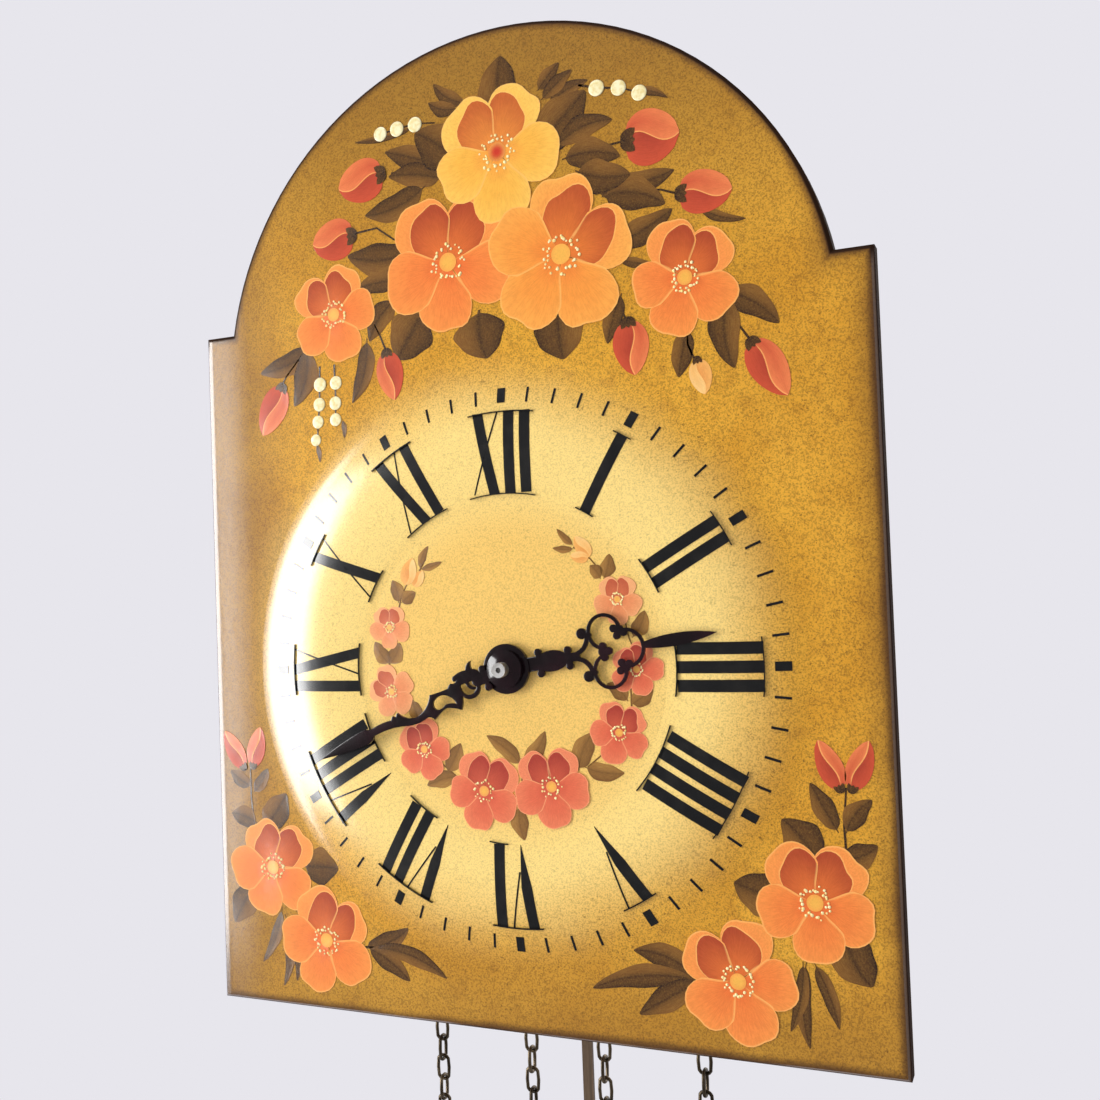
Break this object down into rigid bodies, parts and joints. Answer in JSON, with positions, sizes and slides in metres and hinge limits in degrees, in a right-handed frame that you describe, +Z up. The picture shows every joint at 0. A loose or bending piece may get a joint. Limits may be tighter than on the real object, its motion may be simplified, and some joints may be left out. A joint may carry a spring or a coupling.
{
  "type": "wall clock",
  "caption": "Shield wall clock with an arched painted wooden dial board, pierced hands, wooden case with side doors, chain-driven going and strike trains, pendulum, weights and bell.",
  "frame": {"origin": "axis of the hanging bush, on the plane of the wall behind the case's back board", "axes": "+Z up, the dial faces -Y, +Y goes into the wall, +X to the viewer's right"},
  "size_m": [0.22, 0.0762, 0.5999],
  "materials": {
    "painted_shield": "glossy lacquer over a speckled ochre ground with painted dial",
    "case_wood": "oiled beech",
    "brass": "lacquered sheet brass",
    "steel": "turned steel",
    "black_hand": "glossy near-black lacquer",
    "dark_chain": "browned steel wire",
    "weight_iron": "blackened casting",
    "pendulum_rod": "browned steel strip",
    "bell_metal": "polished bell metal"
  },
  "bodies": {
    "case": {"back_plate": "brass", "bell": "bell_metal", "bell_stand": "steel", "case_back_board": "case_wood", "case_front_stiles": "case_wood", "case_top_board": "case_wood", "door_hinge_pins": "steel", "front_plate": "brass", "going_pull_chain": "dark_chain", "going_weight_chain": "dark_chain", "hanging_bush": "brass", "minute_wheel_stud": "steel", "pillar_nuts": "steel", "plate_pillars": "steel", "seat_board": "case_wood", "seat_screws": "steel", "shield_board": "painted_shield", "shield_screws": "steel", "strike_pull_chain": "dark_chain", "strike_weight_chain": "dark_chain", "suspension_bracket": "steel"},
    "left_door": {"left_door": "case_wood", "left_door_knob": "case_wood"},
    "right_door": {"right_door": "case_wood", "right_door_knob": "case_wood"},
    "minute_train": {"minute_hand": "black_hand", "hand_nut": "black_hand", "cannon_pinion": "steel", "centre_arbor": "steel", "centre_wheel": "brass"},
    "hour_train": {"hour_hand": "black_hand", "hour_wheel": "brass"},
    "minute_wheel": {"minute_wheel": "brass"},
    "going_great": {"going_great_wheel": "brass", "going_click": "steel"},
    "third": {"third_arbor": "steel", "third_wheel": "brass"},
    "escape": {"escape_arbor": "steel", "escape_wheel": "brass"},
    "anchor": {"anchor": "steel", "anchor_arbor": "steel", "crutch": "steel"},
    "pendulum": {"pendulum_rod": "pendulum_rod", "pendulum_bob": "brass", "rating_nut": "brass"},
    "going_sprocket": {"going_sprocket": "brass"},
    "going_weight": {"going_weight": "weight_iron"},
    "going_ring": {"going_pull_ring": "dark_chain"},
    "strike_great": {"strike_great_wheel": "brass", "strike_click": "steel"},
    "strike_sprocket": {"strike_sprocket": "brass"},
    "strike_weight": {"strike_weight": "weight_iron"},
    "strike_ring": {"strike_pull_ring": "dark_chain"},
    "pin_wheel": {"pin_arbor": "steel", "pin_wheel": "brass"},
    "warning": {"warning_wheel": "brass"},
    "fly": {"fly": "brass"},
    "hammer": {"hammer": "steel"}
  },
  "joints": [
    {"name": "left_door_hinge", "type": "hinge", "parent": "case", "child": "left_door", "pos_m": [-0.065, -0.0128, -0.05], "axis": [0, 0, -1], "range_deg": [0, 90]},
    {"name": "right_door_hinge", "type": "hinge", "parent": "case", "child": "right_door", "pos_m": [0.065, -0.0128, -0.05], "axis": [0, 0, 1], "range_deg": [0, 90]},
    {"name": "hands_turn", "type": "hinge", "parent": "case", "child": "minute_train", "pos_m": [0, -0.07, -0.075], "axis": [0, 1, 0], "continuous": true},
    {"name": "hour_turn", "type": "hinge", "parent": "case", "child": "hour_train", "pos_m": [0, -0.07, -0.075], "axis": [0, 1, 0], "continuous": true},
    {"name": "minute_wheel_turn", "type": "hinge", "parent": "case", "child": "minute_wheel", "pos_m": [0.0106, -0.056, -0.0644], "axis": [0, 1, 0], "continuous": true},
    {"name": "going_great_turn", "type": "hinge", "parent": "case", "child": "going_great", "pos_m": [-0.0289, -0.037, -0.08676], "axis": [0, 1, 0], "continuous": true},
    {"name": "third_turn", "type": "hinge", "parent": "case", "child": "third", "pos_m": [-0.015, -0.037, -0.0589], "axis": [0, 1, 0], "continuous": true},
    {"name": "escape_turn", "type": "hinge", "parent": "case", "child": "escape", "pos_m": [0, -0.037, -0.0457], "axis": [0, 1, 0], "continuous": true},
    {"name": "pendulum_swing", "type": "hinge", "parent": "case", "child": "pendulum", "pos_m": [0, -0.0185, -0.0277], "axis": [0, 1, 0], "range_deg": [-2.5, 2.5]},
    {"name": "anchor_rock", "type": "hinge", "parent": "case", "child": "anchor", "pos_m": [0, -0.0185, -0.0277], "axis": [0, 1, 0], "range_deg": [-2.5, 2.5]},
    {"name": "going_weight_drop", "type": "slide", "parent": "case", "child": "going_weight", "axis": [0, 0, -1], "range_m": [0, 0.247], "deforming": ["going_weight_chain"]},
    {"name": "going_ring_rise", "type": "slide", "parent": "case", "child": "going_ring", "axis": [0, 0, 1], "range_m": [0, 0.247], "deforming": ["going_pull_chain"]},
    {"name": "going_sprocket_turn", "type": "hinge", "parent": "case", "child": "going_sprocket", "pos_m": [-0.0289, -0.037, -0.08676], "axis": [0, 1, 0], "range_deg": [-860, 0]},
    {"name": "strike_weight_drop", "type": "slide", "parent": "case", "child": "strike_weight", "axis": [0, 0, -1], "range_m": [0, 0.247], "deforming": ["strike_weight_chain"]},
    {"name": "strike_ring_rise", "type": "slide", "parent": "case", "child": "strike_ring", "axis": [0, 0, 1], "range_m": [0, 0.247], "deforming": ["strike_pull_chain"]},
    {"name": "strike_sprocket_turn", "type": "hinge", "parent": "case", "child": "strike_sprocket", "pos_m": [0.0289, -0.037, -0.08676], "axis": [0, 1, 0], "range_deg": [0, 860]},
    {"name": "pin_wheel_turn", "type": "hinge", "parent": "case", "child": "pin_wheel", "pos_m": [0.022, -0.037, -0.0551], "axis": [0, 1, 0], "continuous": true},
    {"name": "strike_great_turn", "type": "hinge", "parent": "case", "child": "strike_great", "pos_m": [0.0289, -0.037, -0.08676], "axis": [0, 1, 0], "continuous": true},
    {"name": "warning_turn", "type": "hinge", "parent": "case", "child": "warning", "pos_m": [0.027, -0.037, -0.0378], "axis": [0, 1, 0], "continuous": true},
    {"name": "fly_turn", "type": "hinge", "parent": "case", "child": "fly", "pos_m": [0.0145, -0.037, -0.0278], "axis": [0, 1, 0], "continuous": true},
    {"name": "hammer_lift", "type": "hinge", "parent": "case", "child": "hammer", "pos_m": [0.05, -0.037, -0.051], "axis": [0, 1, 0], "range_deg": [0, 12]}
  ],
  "couplings": [
    {"joint": "hour_turn", "follows": "hands_turn", "ratio": 0.083333},
    {"joint": "minute_wheel_turn", "follows": "hands_turn", "ratio": -0.33333},
    {"joint": "going_great_turn", "follows": "hands_turn", "ratio": -0.083333},
    {"joint": "third_turn", "follows": "hands_turn", "ratio": -10},
    {"joint": "escape_turn", "follows": "hands_turn", "ratio": 90},
    {"joint": "anchor_rock", "follows": "pendulum_swing", "ratio": 1},
    {"joint": "going_ring_rise", "follows": "going_weight_drop", "ratio": 1},
    {"joint": "going_sprocket_turn", "follows": "going_weight_drop", "rad_per_m": -60.415},
    {"joint": "strike_ring_rise", "follows": "strike_weight_drop", "ratio": 1},
    {"joint": "strike_sprocket_turn", "follows": "strike_weight_drop", "rad_per_m": 60.415},
    {"joint": "strike_great_turn", "follows": "pin_wheel_turn", "ratio": -0.16667},
    {"joint": "warning_turn", "follows": "pin_wheel_turn", "ratio": -8},
    {"joint": "fly_turn", "follows": "pin_wheel_turn", "ratio": 56}
  ]
}
